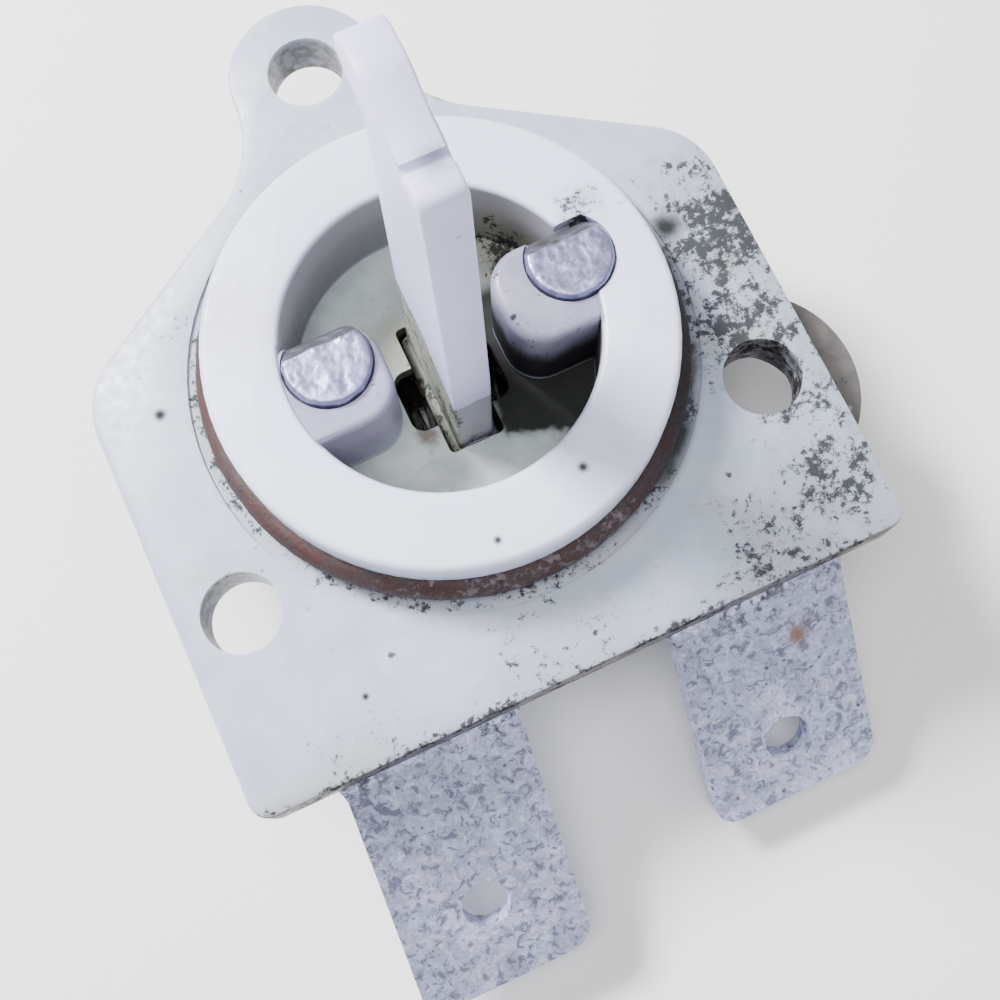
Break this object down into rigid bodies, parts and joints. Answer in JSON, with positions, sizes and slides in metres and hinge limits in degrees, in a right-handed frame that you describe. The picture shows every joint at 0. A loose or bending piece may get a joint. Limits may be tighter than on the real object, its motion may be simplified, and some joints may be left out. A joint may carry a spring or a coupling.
{
  "type": "blade lever switch",
  "caption": "Sealed flange-mounted switch: a tall rocking blade opens a normally closed contact between two push-on blade terminals.",
  "frame": {"origin": "centre of the rear cover's flat back, on the axis of the round spigot", "axes": "+Z out of the flange towards the blade's tip, +Y towards the flange's single ear, +X towards the round lug behind one mounting hole"},
  "size_m": [0.0367, 0.0507, 0.0367],
  "materials": {
    "white_nylon": "aged white nylon",
    "blade_nylon": "satin white nylon",
    "brown_rubber": "brown rubber, dusty",
    "tinned_brass": "tinned, dulled",
    "stud_metal": "plated",
    "steel": "bright",
    "contact_silver": "silver alloy",
    "bridge_brass": "bright brass",
    "cover_plastic": "dark grey-brown moulding"
  },
  "bodies": {
    "housing": {"flange_body": "white_nylon", "seal_ring": "brown_rubber", "pivot_pin": "steel", "pin_clip_front": "steel", "pin_clip_rear": "steel", "contact_stud_left": "stud_metal", "contact_stud_right": "stud_metal", "stud_washer_left": "steel", "stud_washer_right": "steel", "terminal_left": "tinned_brass", "terminal_right": "tinned_brass", "fixed_contact_left": "contact_silver", "fixed_contact_right": "contact_silver", "centring_spring_left": "steel", "centring_spring_right": "steel", "rear_cover": "cover_plastic", "cover_screw_left": "steel", "cover_screw_right": "steel", "cover_screw_lower": "steel"},
    "blade": {"blade_lever": "blade_nylon", "contact_bridge": "bridge_brass", "bridge_rivet": "steel", "bridge_contact_left": "contact_silver", "bridge_contact_right": "contact_silver"}
  },
  "joints": [
    {"name": "blade_rock", "type": "hinge", "parent": "housing", "child": "blade", "pos_m": [0, 0, 0.0093], "axis": [0, 1, 0], "range_deg": [-11, 11], "stiffness_Nm_per_rad": 0.02, "deforming": ["centring_spring_left", "centring_spring_right"]}
  ]
}
